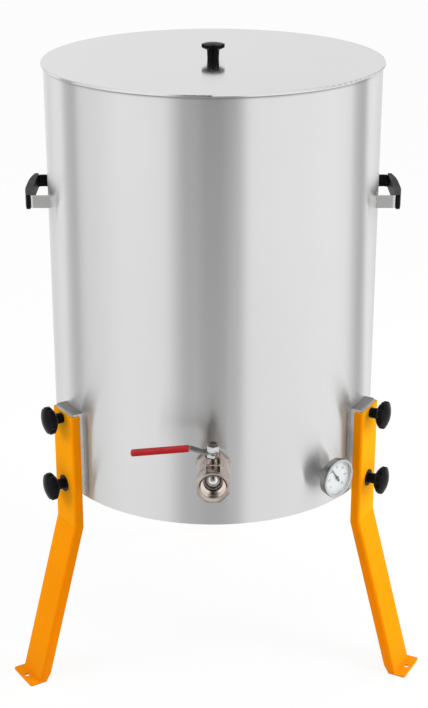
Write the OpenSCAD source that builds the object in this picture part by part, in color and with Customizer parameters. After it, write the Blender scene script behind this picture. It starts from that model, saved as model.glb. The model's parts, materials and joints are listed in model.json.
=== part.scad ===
// Honey settling tank: a stainless drum on three removable splayed legs, with a lift-off lid,
// a quarter-turn ball valve and a dial thermometer.
// Millimetres, Z up. The origin is on the tank axis at floor level and the valve faces -Y.

/* [Tank] */
// Outer diameter of the shell
tank_d = 540; // [480:5:640]
// Height of the shell from its lower edge to the top of its rim
tank_h = 690; // [560:5:900]
// Sheet thickness of the shell and of the floor
shell_t = 1.5; // [1:0.1:2.5]
// Diameter of the rolled bead round the rim
bead_d = 5; // [4:0.5:7]
// Height of the floor's edge above the lower edge of the shell
floor_up = 32; // [26:1:36]
// Rise of the floor from its edge to its middle
floor_rise = 8; // [2:1:14]
// Depth of the floor's turned-down welding flange
floor_flange = 14; // [8:1:18]

/* [Lid] */
// Sheet thickness of the lid
lid_t = 1.5; // [1:0.1:2.5]
// Height of the lid's turned-down lip
lid_lip_h = 4; // [3.5:0.5:12]
// Play between the rim bead and the lid's lip
lid_play = 0.75; // [0.5:0.05:2]
// Diameter of the lid knob's lobed head
lid_knob_d = 37; // [30:1:50]
// Height of the lid knob above the lid
lid_knob_h = 25; // [24:1:40]
// Diameter of the lid knob's neck
lid_knob_neck_d = 18.5; // [14:0.5:22]
// Diameter of the screw that holds the lid knob
lid_screw_d = 6; // [5:0.5:8]

/* [Legs] */
// Height of the shell's lower edge above the floor
leg_clear = 327; // [260:1:420]
// Turn of the three legs about the tank axis, away from the valve's symmetry
leg_turn = 2.4; // [0:0.1:8]
// Outer width of the leg channel
leg_w = 66; // [56:1:76]
// Depth of the leg channel's flanges
leg_flange = 15.5; // [14:0.5:16]
// Sheet thickness of the leg
leg_t = 3; // [2:0.5:3.5]
// Outer bend radius of the leg channel
leg_bend_r = 5; // [4:0.5:7]
// Distance of the leg's outward bend below the shell's lower edge
leg_bend_drop = 52; // [40:1:80]
// Angle of the splayed lower leg from upright
leg_splay = 15.5; // [8:0.5:20]
// Length of the foot plate outside the leg
foot_len = 18; // [16:1:30]
// Diameter of the hole in the foot plate
foot_hole_d = 9; // [6:0.5:11]
// Corner radius of the foot plate
foot_corner_r = 4; // [2:0.5:6]
// Depth of the cut at the flanges' inner lower corners
foot_cut = 5; // [3:0.5:8]
// Height of that cut
foot_cut_h = 8; // [5:0.5:12]

/* [Leg brackets] */
// Distance from the shell to the bracket's outer face
bracket_depth = 18.5; // [15:0.5:24]
// Height of the bracket's top above the shell's lower edge
bracket_up = 149.5; // [140:0.5:170]
// Height of the bracket
bracket_h = 145; // [120:1:160]
// Sheet thickness of the bracket
bracket_t = 2.5; // [2:0.5:3]
// Outer bend radius of the bracket
bracket_bend_r = 6; // [4.5:0.5:8]
// Play between the bracket and the leg channel on each side
bracket_play = 0.5; // [0.3:0.1:1]
// Drop of the leg's top edge below the top of the bracket
leg_top_drop = 4; // [3:0.5:8]
// Distance of each stud from the end of the bracket
stud_inset = 13.5; // [12.5:0.5:18]

/* [Leg knobs] */
// Thread diameter of the knob studs
stud_d = 8; // [6:0.5:10]
// Diameter of the knob's lobed head
knob_d = 46; // [36:1:56]
// Height of the knob's lobed head
knob_head_h = 17.5; // [15:0.5:24]
// Rise of the knob's domed end
knob_dome = 6; // [5:0.5:12]
// Diameter of the knob's neck
knob_neck_d = 17; // [15:0.5:22]
// Length of the knob's neck
knob_neck_h = 15; // [12:1:24]
// Number of lobes on a knob
knob_lobes = 7; // [5:1:9]
// Outer diameter of the washer under each lower knob
washer_d = 28; // [22:1:34]
// Thickness of that washer
washer_t = 1.6; // [1:0.2:3]
// Width across the flats of the weld nuts
nut_af = 13; // [13:0.5:16]
// Height of the weld nuts
nut_h = 6.5; // [5:0.5:8]

/* [Handles] */
// Height of the handles' middle above the shell's lower edge
handle_up = 474; // [300:1:500]
// Distance between the middles of a handle's two arms
handle_span = 132; // [110:1:160]
// Distance from the shell to the outer face of the strap
handle_out = 27.5; // [26:0.5:45]
// Height of the strap
strap_h = 20; // [16:1:24]
// Thickness of the strap
strap_t = 2.5; // [2:0.25:4]
// Outer bend radius of the strap
strap_bend_r = 10; // [6:0.5:14]
// Wall of the grip round the strap
grip_wall = 1.8; // [1.5:0.1:4]
// Outward bow of the grip between its ends
grip_bow = 7; // [4:0.5:10]

/* [Valve] */
// Height of the valve's axis above the shell's lower edge
valve_up = 107; // [96:1:140]
// Distance from the shell to the valve's stem axis
valve_stem_out = 45; // [45:0.5:60]
// Diameter of the ball
ball_d = 42; // [40:0.5:44]
// Diameter of the passage through the ball
port_d = 27; // [22:0.5:28]
// Width of the octagonal ends across their flats
valve_af = 51; // [50:0.5:56]
// Diameter of the valve's round barrel
valve_barrel_d = 53; // [53:0.5:58]
// Core diameter of the outlet thread
outlet_d = 39; // [37:0.5:41]
// Length of the outlet thread
outlet_len = 18; // [14:0.5:24]
// Diameter of the tank's outlet socket
socket_d = 41.5; // [40.5:0.25:42]
// Diameter of the socket's collar on the shell
collar_d = 56; // [54:0.5:62]
// Height of the stem's top above the valve's axis
stem_top = 57; // [55:0.5:64]
// Diameter of the stem
stem_d = 12; // [10:0.5:12.5]
// Diameter of the stem's threaded end
stem_thread_d = 11; // [8:0.5:11.5]
// Length of the lever from the stem axis
lever_len = 127; // [100:1:160]
// Width of the lever strip
lever_w = 14; // [12:0.5:16]
// Thickness of the lever strip
lever_t = 3; // [2:0.25:4]
// Rise of the lever's crank
lever_rise = 6; // [3:0.5:10]
// Droop of the lever's grip below level, in degrees
lever_droop = 5; // [0:0.5:6]
// Wall of the lever's sleeve
sleeve_t = 1.8; // [1.2:0.1:3]

/* [Thermometer] */
// Direction of the thermometer, in degrees to the right of the valve
dial_azimuth = 42.5; // [36:0.5:46]
// Height of the thermometer's axis above the shell's lower edge
dial_up = 57.5; // [54:0.5:80]
// Outer diameter of the bezel
bezel_d = 65; // [64.5:0.5:70]
// Diameter of the case
case_d = 62; // [58:0.5:63]
// Diameter of the dial that the bezel leaves in view
window_d = 57.5; // [50:0.5:58]
// Depth of the case
case_depth = 12; // [11.5:0.5:18]
// Diameter of the thermometer's welded socket
thermo_socket_d = 26; // [25:0.5:32]
// Distance of that socket's end from the shell
thermo_socket_out = 8; // [6:0.5:14]
// Thread diameter of the thermometer's connection
thermo_thread_d = 19; // [17:0.5:20]
// Length of the connection's hexagon
thermo_hex_h = 8; // [6:0.5:12]
// Width of the hexagon across its flats
thermo_hex_af = 22; // [22:0.5:27]
// Length of the sensing stem inside the tank
probe_len = 48; // [30:1:80]
// Diameter of the sensing stem
probe_d = 8; // [6:0.5:9]
// Angle of the pointer from straight up, clockwise, as the dial stands
pointer_angle = -35; // [-135:1:135]

/* [Clearances] */
// Gap at a welded or pushed-in seat
seat_gap = 0.1; // [0.05:0.05:0.2]
// Radial clearance of a running fit
run_gap = 0.05; // [0.02:0.01:0.1]
// Gap between faces that move past each other
move_gap = 0.3; // [0.2:0.05:0.5]
// Radial room round a stud in a plain hole
hole_room = 0.5; // [0.3:0.1:0.8]

/* [Hidden] */
$fn = 96;
fine_fn = 192;
eps = 0.5;
far = 600;

SIDES = ["left", "right"];
LEGS = ["left", "right", "rear"];
LEVELS = ["upper", "lower"];
leg_azimuth = [for (i = [0 : 2]) -60 + leg_turn + 120 * i];
handle_azimuth = [-90, 90];

// Tank and lid
tank_r = tank_d / 2;
tank_z = leg_clear;
rim_z = tank_z + tank_h;
floor_z = tank_z + floor_up;
bead_mid_r = tank_r - shell_t / 2;
lid_z = rim_z + move_gap;
lid_top = lid_z + lid_t;
lid_r = bead_mid_r + bead_d / 2 + lid_play + lid_t;
lid_edge_r = 2.5;
lid_washer_share = 1.1;
lid_head_r_share = 0.9;
lid_head_h_share = 0.6;
lid_washer_r = lid_screw_d * lid_washer_share;
lid_washer_t = 1.2;
lid_screw_head_r = lid_screw_d * lid_head_r_share;
lid_screw_head_h = lid_screw_d * lid_head_h_share;
lid_screw_in = 14;
lid_knob_lobes = 6;
lid_head_share = 0.4;
lid_dome_share = 0.25;

// Legs, brackets and knobs
bracket_r = tank_r + bracket_depth;
bracket_w = leg_w - 2 * leg_t - 2 * bracket_play;
bracket_top = tank_z + bracket_up;
bracket_bottom = bracket_top - bracket_h;
bracket_root_r = sqrt(tank_r * tank_r - leg_w * leg_w / 4) - 2 * bracket_t;
web_r = bracket_r + leg_t;
leg_top = bracket_top - leg_top_drop;
bend_z = tank_z - leg_bend_drop;
foot_r = web_r + bend_z * tan(leg_splay);
foot_hole_r = foot_r + foot_len / 2;
stud_z = [bracket_top - stud_inset, bracket_bottom + stud_inset];
stud_hole_d = stud_d + 2 * hole_room;
nut_r = bracket_r - bracket_t;
stud_past_nut = 1.5;
stud_in_knob = 20;
knob_seat_r = [web_r + move_gap, web_r + move_gap + washer_t];

// Shape of a lobed knob: its scallops, and the cone under its head
scallop_share = 0.62;
scallop_depth = 0.42;
under_share = 0.3;
under_r_share = 0.72;
neck_flare = 1;

// Handles
handle_z = tank_z + handle_up;
strap_r = tank_r + handle_out;
strap_w = handle_span + strap_t;
grip_h = strap_h + 2 * grip_wall;
grip_in_r = strap_r - strap_t - grip_wall;
grip_end_r = strap_r + grip_wall;
grip_half = handle_span / 2 + strap_t / 2;
grip_bow_r = (grip_half * grip_half + grip_bow * grip_bow) / (2 * grip_bow);
grip_edge_r = 3;
lining_gap = 1;

// Valve, measured outwards from the tank axis and up from the valve's own axis
valve_z = tank_z + valve_up;
ball_r = ball_d / 2;
ball_at = tank_r + valve_stem_out;
collar_out = 6;
collar_front = tank_r + collar_out;
socket_in = 7;
port_step = 2.5;
seat_step = 0.8;
socket_bore_d = port_d + 2 * port_step;
valve_back = collar_front + seat_gap;
seat_near = 11;
seat_far = 17;
seat_len = seat_far - seat_near;
seat_lip = 1;
seat_r = 19.3;
seat_bore_r = port_d / 2 + seat_step;
inlet_wall = 5;
inlet_end = ball_at - seat_far - inlet_wall;
chamber_r = ball_r + move_gap;
cap_thread_step = 1.6;
cap_thread_r = chamber_r + cap_thread_step;
cap_in = 10;
body_past_ball = 15;
cap_seal_t = 2;
cap_seal_lip = 0.5;
cap_seal_r = chamber_r - cap_seal_lip;
body_front = ball_at + body_past_ball;
cap_inner = ball_at + seat_far;
thread_at = ball_at + ball_r + move_gap;
mouth_at = thread_at + outlet_len;
mouth_chamfer = 2.5;
end_chamfer = 2;
nut_chamfer = 1;
inlet_octagon_h = 13;
barrel_shoulder = 4;
neck_r = 12;
neck_top = 34;
packing_r = 8;
packing_z = 24;
packing_h = 5;
gland_af = 19;
gland_h = 6;
gland_z = neck_top + seat_gap;
ball_slot_depth = 5;
stem_flat_share = 0.7;
stem_foot = ball_r - ball_slot_depth;
stem_flat = stem_d * stem_flat_share;
lever_z = gland_z + gland_h + move_gap;
lever_top = lever_z + lever_t;
lever_hub_r = 10;
lever_crank_start = 16;
lever_crank_end = 34;
lever_nut_af = 18;
lever_nut_h = 9.5;
sleeve_start = 37;
sleeve_w = lever_w + 2 * sleeve_t;
sleeve_h = lever_t + 2 * sleeve_t;
stop_w = 4;
stop_root = 8;
stop_short = 1;
ball_slot_w = 6;
ball_slot_room = 0.1;

// Thermometer, measured outwards from the tank axis
dial_z = tank_z + dial_up;
socket_end = tank_r + thermo_socket_out;
thermo_socket_in = 6;
thermo_seal_t = 1;
hex_back = socket_end + thermo_seal_t;
case_back = hex_back + thermo_hex_h;
case_wall = 1.5;
case_front = case_back + case_depth;
case_in_r = case_d / 2 - case_wall;
ledge_w = 2;
dial_depth = 6.8;
dial_back = case_back + dial_depth;
dial_t = 0.8;
dial_to_pointer = 0.8;
pointer_back = dial_back + dial_t + dial_to_pointer;
pointer_t = 0.6;
pointer_short = 4.5;
pointer_len = window_d / 2 - pointer_short;
pointer_tail = 9;
pointer_w = 2.6;
pointer_tail_w = 3.2;
pointer_tip_w = 0.6;
pointer_hub_h = 1.2;
pointer_hub_r = 2.8;
spindle_r = 1;
spindle_in = 8;
glass_t = 2;
glass_back = case_front - glass_t;
bezel_lip_t = 1.6;
bezel_front = case_front + seat_gap + bezel_lip_t;
bezel_len = 5;
bezel_edge_r = 1.6;
probe_tip = tank_r - shell_t - thermo_socket_in - probe_len;

// Placing

// Turns a piece drawn at the front of the tank to an azimuth, counted to the right of the valve
module around(azimuth) {
    rotate([0, 0, azimuth])
        children();
}

// Lays a piece drawn along +Z on a radial axis: its Z runs outwards and its Y upwards
module outward(azimuth, z) {
    translate([0, 0, z])
        around(azimuth)
            rotate([90, 0, 0])
                children();
}

module at_valve() {
    outward(0, valve_z)
        children();
}

module at_thermometer() {
    outward(dial_azimuth, dial_z)
        children();
}

// Stands a piece on the valve's upright stem axis, with its Z measured from the valve's own axis
module on_stem() {
    translate([0, -ball_at, valve_z])
        children();
}

// Common shapes

module tube(r_out, r_in, h) {
    difference() {
        cylinder(r = r_out, h = h);
        translate([0, 0, -eps])
            cylinder(r = r_in, h = h + 2 * eps);
    }
}

// A bar with flat sides and turned, chamfered ends
module flat_sided_bar(sides, af, h, chamfer) {
    corner_r = af / 2 / cos(180 / sides);
    end_r = (af - chamfer) / 2;
    intersection() {
        rotate([0, 0, 180 / sides])
            cylinder(r = corner_r, h = h, $fn = sides);
        rotate_extrude()
            polygon([
                [0, 0], [end_r, 0], [end_r + 2 * chamfer, chamfer],
                [end_r + 2 * chamfer, h - chamfer], [end_r, h], [0, h]
            ]);
    }
}

// A rectangle from y = -d to 0 whose two outer corners are round
module rounded_front(w, d, r) {
    translate([-w / 2, -d + r])
        square([w, d - r]);
    translate([-w / 2 + r, -d])
        square([w - 2 * r, d]);
    for (side = [-1, 1])
        translate([side * (w / 2 - r), -d + r])
            circle(r = r);
}

// The section of a sheet bent into a U that opens towards +Y
module bent_channel(w, d, t, r) {
    difference() {
        rounded_front(w, d, r);
        translate([0, eps])
            rounded_front(w - 2 * t, d - t + eps, r - t);
    }
}

// A lobed clamping knob that stands on z = 0
module lobed_knob(d, head_h, dome, neck_d, neck_h, lobes) {
    r = d / 2;
    dome_r = (r * r + dome * dome) / (2 * dome);
    scallop_r = scallop_share * PI * r / lobes;
    scallop_at = r + (1 - scallop_depth) * scallop_r;
    under_h = head_h * under_share;
    difference() {
        union() {
            cylinder(r1 = neck_d / 2, r2 = neck_d / 2 + neck_flare, h = neck_h + under_h);
            intersection() {
                translate([0, 0, neck_h])
                    union() {
                        cylinder(r1 = r * under_r_share, r2 = r, h = under_h);
                        translate([0, 0, under_h])
                            cylinder(r = r, h = head_h - under_h);
                    }
                translate([0, 0, neck_h + head_h - dome_r])
                    sphere(r = dome_r);
            }
        }
        for (i = [0 : lobes - 1])
            rotate([0, 0, (i + 0.5) * 360 / lobes])
                translate([scallop_at, 0, neck_h - eps])
                    cylinder(r = scallop_r, h = head_h + 2 * eps);
    }
}

// Tank

module tank_shell() {
    color("silver")
        difference() {
            union() {
                translate([0, 0, tank_z])
                    difference() {
                        cylinder(r = tank_r, h = tank_h - bead_d / 2, $fn = fine_fn);
                        translate([0, 0, -eps])
                            cylinder(r = tank_r - shell_t, h = tank_h, $fn = fine_fn);
                    }
                translate([0, 0, rim_z - bead_d / 2])
                    rotate_extrude($fn = fine_fn)
                        translate([bead_mid_r, 0])
                            circle(d = bead_d);
            }
            at_valve()
                translate([0, 0, tank_r - socket_in * 3])
                    cylinder(d = socket_d + 2 * seat_gap, h = socket_in * 6);
            at_thermometer()
                translate([0, 0, tank_r - thermo_socket_in * 3])
                    cylinder(d = thermo_socket_d + 2 * seat_gap, h = thermo_socket_in * 6);
        }
}

module tank_floor() {
    edge_r = tank_r - shell_t - seat_gap;
    color("silver")
        translate([0, 0, floor_z])
            rotate_extrude($fn = fine_fn)
                polygon([
                    [0, floor_rise], [edge_r - shell_t, 0], [edge_r - shell_t, -floor_flange],
                    [edge_r, -floor_flange], [edge_r, shell_t], [0, floor_rise + shell_t]
                ]);
}

// The collar's back is cut to the curve of the shell
module outlet_socket() {
    inner_end = tank_r - shell_t - socket_in;
    color("lightgray")
        difference() {
            union() {
                at_valve()
                    translate([0, 0, inner_end])
                        cylinder(d = socket_d, h = inlet_end - inner_end);
                difference() {
                    at_valve()
                        translate([0, 0, tank_r - collar_out])
                            cylinder(d = collar_d, h = 2 * collar_out);
                    translate([0, 0, valve_z - collar_d])
                        cylinder(r = tank_r + seat_gap, h = 2 * collar_d, $fn = fine_fn);
                }
            }
            at_valve()
                translate([0, 0, inner_end - eps])
                    cylinder(d = socket_bore_d, h = inlet_end - inner_end + 2 * eps);
        }
}

module thermometer_socket() {
    inner_end = tank_r - shell_t - thermo_socket_in;
    color("gray")
        at_thermometer()
            translate([0, 0, inner_end])
                tube(thermo_socket_d / 2, thermo_thread_d / 2 + seat_gap, socket_end - inner_end);
}

// Legs and their brackets

// The outside of a bracket at the front of the tank, drawn smaller on every face by the inset
module bracket_block(inset) {
    depth = bracket_r - inset - bracket_root_r;
    bend_r = bracket_bend_r - inset;
    intersection() {
        translate([0, -bracket_root_r, bracket_bottom])
            linear_extrude(bracket_h)
                rounded_front(bracket_w - 2 * inset, depth, bend_r);
        translate([-bracket_w / 2, -bracket_root_r, (bracket_top + bracket_bottom) / 2])
            rotate([90, 0, 90])
                linear_extrude(bracket_w)
                    rotate([0, 0, -90])
                        rounded_front(bracket_h - 2 * inset, depth, bend_r);
    }
}

module leg_bracket(azimuth) {
    color("dimgray")
        difference() {
            around(azimuth)
                difference() {
                    bracket_block(0);
                    bracket_block(bracket_t);
                }
            translate([0, 0, bracket_bottom - eps])
                cylinder(r = tank_r + seat_gap, h = bracket_h + 2 * eps, $fn = fine_fn);
            for (z = stud_z)
                outward(azimuth, z)
                    translate([0, 0, nut_r - eps])
                        cylinder(d = stud_hole_d, h = bracket_t + 2 * eps);
        }
}

module bracket_nuts() {
    color("gray")
        for (azimuth = leg_azimuth)
            for (z = stud_z)
                outward(azimuth, z)
                    translate([0, 0, nut_r - nut_h])
                        difference() {
                            flat_sided_bar(6, nut_af, nut_h, nut_chamfer);
                            translate([0, 0, -eps])
                                cylinder(r = stud_d / 2 + run_gap, h = nut_h + 2 * eps);
                        }
}

// One of the two channels that meet in the leg's bend. The mitre is its cut end at z = 0, and the
// middle of its bend line is the origin.
module mitred_channel(h) {
    intersection() {
        rotate([leg_splay / 2, 0, 0])
            translate([0, leg_flange, -leg_flange])
                linear_extrude(h + leg_flange)
                    bent_channel(leg_w, leg_flange, leg_t, leg_bend_r);
        translate([-far / 2, -far / 2, 0])
            cube(far);
    }
}

module foot_plate() {
    inner_r = foot_r - leg_t;
    difference() {
        translate([0, -inner_r, 0])
            linear_extrude(leg_t)
                rounded_front(leg_w, foot_len + leg_t, foot_corner_r);
        translate([0, -foot_hole_r, -eps])
            cylinder(d = foot_hole_d, h = leg_t + 2 * eps);
    }
}

// What is cut off the inner lower corners of the flanges, so that the leg stands on its foot plate
module corner_cut() {
    flange_in = foot_r - leg_flange / cos(leg_splay);
    reach = 2 * leg_flange;
    translate([-leg_w, 0, 0])
        rotate([90, 0, 90])
            linear_extrude(2 * leg_w)
                polygon([
                    [-flange_in - foot_cut, 0],
                    [-flange_in - foot_cut, -reach],
                    [-flange_in + reach, -reach],
                    [-flange_in + reach, foot_cut_h * (foot_cut + reach) / foot_cut],
                ]);
}

module leg(azimuth) {
    lower_h = (bend_z + 2 * leg_flange) / cos(leg_splay);
    color("orange")
        around(azimuth) {
            difference() {
                translate([0, -web_r, bend_z])
                    rotate([-leg_splay / 2, 0, 0]) {
                        mitred_channel(leg_top - bend_z);
                        mirror([0, 0, 1])
                            mitred_channel(lower_h);
                    }
                translate([-far / 2, -far, -far])
                    cube([far, far, far]);
                corner_cut();
                for (z = stud_z)
                    outward(0, z)
                        translate([0, 0, web_r - leg_t - eps])
                            cylinder(d = stud_hole_d, h = leg_t + 2 * eps);
            }
            foot_plate();
        }
}

// Knobs

module leg_knob(azimuth, level) {
    color([0.06, 0.06, 0.06])
        outward(azimuth, stud_z[level])
            translate([0, 0, knob_seat_r[level]])
                difference() {
                    lobed_knob(knob_d, knob_head_h, knob_dome, knob_neck_d, knob_neck_h, knob_lobes);
                    translate([0, 0, -eps])
                        cylinder(r = stud_d / 2 + seat_gap, h = stud_in_knob + eps);
                }
}

module knob_stud(azimuth, level) {
    inner_end = nut_r - nut_h - stud_past_nut;
    outer_end = knob_seat_r[level] + stud_in_knob - seat_gap;
    color("silver")
        outward(azimuth, stud_z[level])
            translate([0, 0, inner_end])
                cylinder(d = stud_d, h = outer_end - inner_end);
}

module knob_washer(azimuth) {
    color([0.08, 0.08, 0.08])
        outward(azimuth, stud_z[1])
            translate([0, 0, web_r + move_gap])
                tube(washer_d / 2, stud_d / 2 + seat_gap, washer_t - seat_gap);
}

// Handles

// The arms end on the curve of the shell
module strap_solid(spare) {
    root_r = sqrt(tank_r * tank_r - strap_w * strap_w / 4) - strap_t;
    difference() {
        translate([0, -root_r, handle_z - strap_h / 2 - spare])
            linear_extrude(strap_h + 2 * spare)
                bent_channel(
                    strap_w + 2 * spare, strap_r + spare - root_r, strap_t + 2 * spare, strap_bend_r + spare
                );
        translate([0, 0, handle_z - strap_h])
            cylinder(r = tank_r + seat_gap, h = 2 * strap_h, $fn = fine_fn);
    }
}

module handle_strap(azimuth) {
    color("silver")
        around(azimuth)
            strap_solid(0);
}

// The grip's lining, which covers the inner faces of the strap
module grip_lining() {
    root_r = tank_r - strap_w / 2;
    translate([0, -root_r, handle_z - strap_h / 2])
        linear_extrude(strap_h)
            bent_channel(
                strap_w - 2 * strap_t, strap_r - strap_t - root_r, grip_wall, strap_bend_r - strap_t
            );
}

// A sleeve moulded round the strap's bar, bowed outwards in plan and round along its edges
module handle_grip(azimuth) {
    depth = grip_end_r + grip_bow - grip_in_r;
    color([0.1, 0.1, 0.1])
        around(azimuth)
            difference() {
                grip_lining();
                translate([0, 0, handle_z - strap_h])
                    cylinder(r = tank_r + lining_gap, h = 2 * strap_h, $fn = fine_fn);
                strap_solid(seat_gap);
            }
    color([0.1, 0.1, 0.1])
        around(azimuth)
            difference() {
                intersection() {
                    translate([0, 0, handle_z - grip_h / 2])
                        linear_extrude(grip_h)
                            intersection() {
                                translate([0, -(grip_end_r + grip_bow - grip_bow_r)])
                                    circle(r = grip_bow_r, $fn = 4 * fine_fn);
                                translate([-grip_half, -grip_in_r - depth])
                                    square([2 * grip_half, depth]);
                            }
                    translate([-grip_half, -grip_in_r, handle_z])
                        rotate([90, 0, 90])
                            linear_extrude(2 * grip_half)
                                rotate([0, 0, -90])
                                    rounded_front(grip_h, depth, grip_edge_r);
                }
                strap_solid(seat_gap);
            }
}

// Lid

module lid() {
    inner_r = lid_r - lid_t;
    lip_z = lid_top - lid_lip_h;
    color("silver")
        difference() {
            rotate_extrude($fn = fine_fn)
                union() {
                    translate([0, lid_z])
                        square([lid_r - lid_edge_r, lid_t]);
                    difference() {
                        translate([lid_r - lid_edge_r, lid_top - lid_edge_r])
                            circle(r = lid_edge_r);
                        translate([lid_r - lid_edge_r, lid_top - lid_edge_r])
                            circle(r = lid_edge_r - lid_t);
                        translate([lid_r - 3 * lid_edge_r, lid_top - 3 * lid_edge_r])
                            square([2 * lid_edge_r, 4 * lid_edge_r]);
                        translate([lid_r - 2 * lid_edge_r, lid_top - 3 * lid_edge_r])
                            square([4 * lid_edge_r, 2 * lid_edge_r]);
                    }
                    translate([inner_r, lip_z])
                        square([lid_t, lid_lip_h - lid_edge_r]);
                }
            translate([0, 0, lid_z - eps])
                cylinder(d = lid_screw_d + 2 * hole_room, h = lid_t + 2 * eps);
        }
}

module lid_knob() {
    head_h = lid_knob_h * lid_head_share;
    color([0.06, 0.06, 0.06])
        translate([0, 0, lid_top])
            difference() {
                lobed_knob(
                    lid_knob_d, head_h, head_h * lid_dome_share,
                    lid_knob_neck_d, lid_knob_h - head_h, lid_knob_lobes
                );
                translate([0, 0, -eps])
                    cylinder(d = lid_screw_d + 2 * seat_gap, h = lid_screw_in + eps);
            }
}

module lid_knob_washer() {
    color("silver")
        translate([0, 0, lid_z - lid_washer_t])
            tube(lid_washer_r, lid_screw_d / 2 + seat_gap, lid_washer_t);
}

module lid_knob_screw() {
    head_top = lid_z - lid_washer_t;
    color("silver") {
        translate([0, 0, head_top - lid_screw_head_h])
            cylinder(r = lid_screw_head_r, h = lid_screw_head_h);
        translate([0, 0, head_top - eps])
            cylinder(d = lid_screw_d, h = lid_top + lid_screw_in - seat_gap - head_top + eps);
    }
}

// Valve

module valve_barrel() {
    barrel_h = body_front - valve_back - inlet_octagon_h + end_chamfer;
    barrel_r = valve_barrel_d / 2;
    translate([0, 0, body_front - barrel_h])
        rotate_extrude()
            polygon([
                [0, 0], [valve_af / 2 - nut_chamfer, 0], [barrel_r, barrel_shoulder],
                [barrel_r, barrel_h - nut_chamfer], [barrel_r - nut_chamfer, barrel_h], [0, barrel_h]
            ]);
}

// Two cast posts on the neck stop the lever when it is shut and when it is open
module lever_stops() {
    post_at = lever_w / 2 + move_gap + stop_w / 2;
    for (shut = [true, false])
        translate(shut ? [-neck_r + stop_w / 2, post_at, 0] : [post_at, -neck_r + stop_w / 2, 0])
            translate([-stop_w / 2, -stop_w / 2, neck_top - stop_root])
                cube([stop_w, stop_w, stop_root + lever_top - stop_short - neck_top]);
}

module valve_body() {
    color("tan")
        difference() {
            union() {
                at_valve() {
                    translate([0, 0, valve_back])
                        flat_sided_bar(8, valve_af, inlet_octagon_h, end_chamfer);
                    valve_barrel();
                }
                on_stem() {
                    cylinder(r = neck_r, h = neck_top);
                    lever_stops();
                }
            }
            at_valve() {
                translate([0, 0, valve_back - eps])
                    cylinder(r = socket_d / 2 + seat_gap, h = inlet_end + seat_gap - valve_back + eps);
                translate([0, 0, inlet_end - eps])
                    cylinder(d = socket_bore_d, h = inlet_wall + 2 * eps);
                translate([0, 0, ball_at - seat_far])
                    cylinder(r = seat_r + seat_gap, h = seat_far);
                translate([0, 0, ball_at - seat_near + seat_lip])
                    cylinder(r = chamber_r, h = body_front);
                translate([0, 0, cap_inner - cap_in - seat_gap])
                    cylinder(r = cap_thread_r + seat_gap, h = body_front);
            }
            on_stem() {
                cylinder(r = stem_d / 2 + run_gap, h = neck_top + eps);
                translate([0, 0, packing_z])
                    cylinder(r = packing_r + seat_gap, h = neck_top);
            }
        }
}

module valve_end_cap() {
    cap_back = body_front + seat_gap;
    color("tan")
        at_valve()
            difference() {
                union() {
                    translate([0, 0, cap_back])
                        flat_sided_bar(8, valve_af, mouth_at - cap_back, end_chamfer);
                    translate([0, 0, cap_inner - cap_in + cap_seal_t])
                        cylinder(r = cap_thread_r, h = cap_in);
                }
                translate([0, 0, cap_inner - cap_in])
                    cylinder(r = seat_r + seat_gap, h = cap_in);
                translate([0, 0, cap_inner - eps])
                    cylinder(r = seat_bore_r, h = thread_at - cap_inner + 2 * eps);
                translate([0, 0, thread_at])
                    cylinder(d = outlet_d, h = outlet_len + eps);
                translate([0, 0, mouth_at - mouth_chamfer])
                    cylinder(d1 = outlet_d, d2 = outlet_d + 2 * mouth_chamfer, h = mouth_chamfer);
            }
}

module valve_cap_seal() {
    color("white")
        at_valve()
            translate([0, 0, cap_inner - cap_in])
                tube(cap_thread_r, cap_seal_r, cap_seal_t - seat_gap);
}

module valve_seats() {
    color("white")
        at_valve()
            for (side = [-1, 1])
                difference() {
                    translate([0, 0, ball_at + side * (seat_near + seat_far) / 2 - seat_len / 2])
                        tube(seat_r, seat_bore_r, seat_len);
                    translate([0, 0, ball_at])
                        sphere(r = ball_r + run_gap);
                }
}

// Shut, the passage lies across the valve
module valve_ball() {
    color("whitesmoke")
        on_stem()
            difference() {
                sphere(r = ball_r);
                rotate([0, 90, 0])
                    cylinder(d = port_d, h = ball_d + 2 * eps, center = true);
                translate([-ball_slot_w / 2, -ball_r, stem_foot])
                    cube([ball_slot_w, ball_d, ball_r]);
            }
}

module stem_flats() {
    translate([-stem_d, -stem_flat / 2, 0])
        cube([2 * stem_d, stem_flat, stem_top]);
}

module valve_stem() {
    blade_w = ball_slot_w - 2 * ball_slot_room;
    shoulder_z = ball_r + move_gap;
    color("gray")
        on_stem() {
            intersection() {
                translate([0, 0, stem_foot + ball_slot_room])
                    cylinder(d = stem_d, h = shoulder_z - stem_foot);
                translate([-blade_w / 2, -stem_d, 0])
                    cube([blade_w, 2 * stem_d, ball_d]);
            }
            translate([0, 0, shoulder_z])
                cylinder(d = stem_d, h = lever_z - shoulder_z - seat_gap);
            intersection() {
                translate([0, 0, lever_z - eps])
                    cylinder(d = stem_d, h = lever_t + eps);
                stem_flats();
            }
            translate([0, 0, lever_top])
                cylinder(d = stem_thread_d, h = stem_top - lever_top);
        }
}

module stem_packing() {
    color("white")
        on_stem()
            translate([0, 0, packing_z])
                tube(packing_r, stem_d / 2 + run_gap, packing_h);
}

module gland_nut() {
    spigot_z = packing_z + packing_h + seat_gap;
    color("silver")
        on_stem()
            difference() {
                union() {
                    translate([0, 0, gland_z])
                        flat_sided_bar(6, gland_af, gland_h, nut_chamfer);
                    translate([0, 0, spigot_z])
                        cylinder(r = packing_r, h = gland_z - spigot_z + nut_chamfer);
                }
                translate([0, 0, spigot_z - eps])
                    cylinder(r = stem_d / 2 + run_gap, h = gland_z + gland_h - spigot_z + 2 * eps);
            }
}

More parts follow.
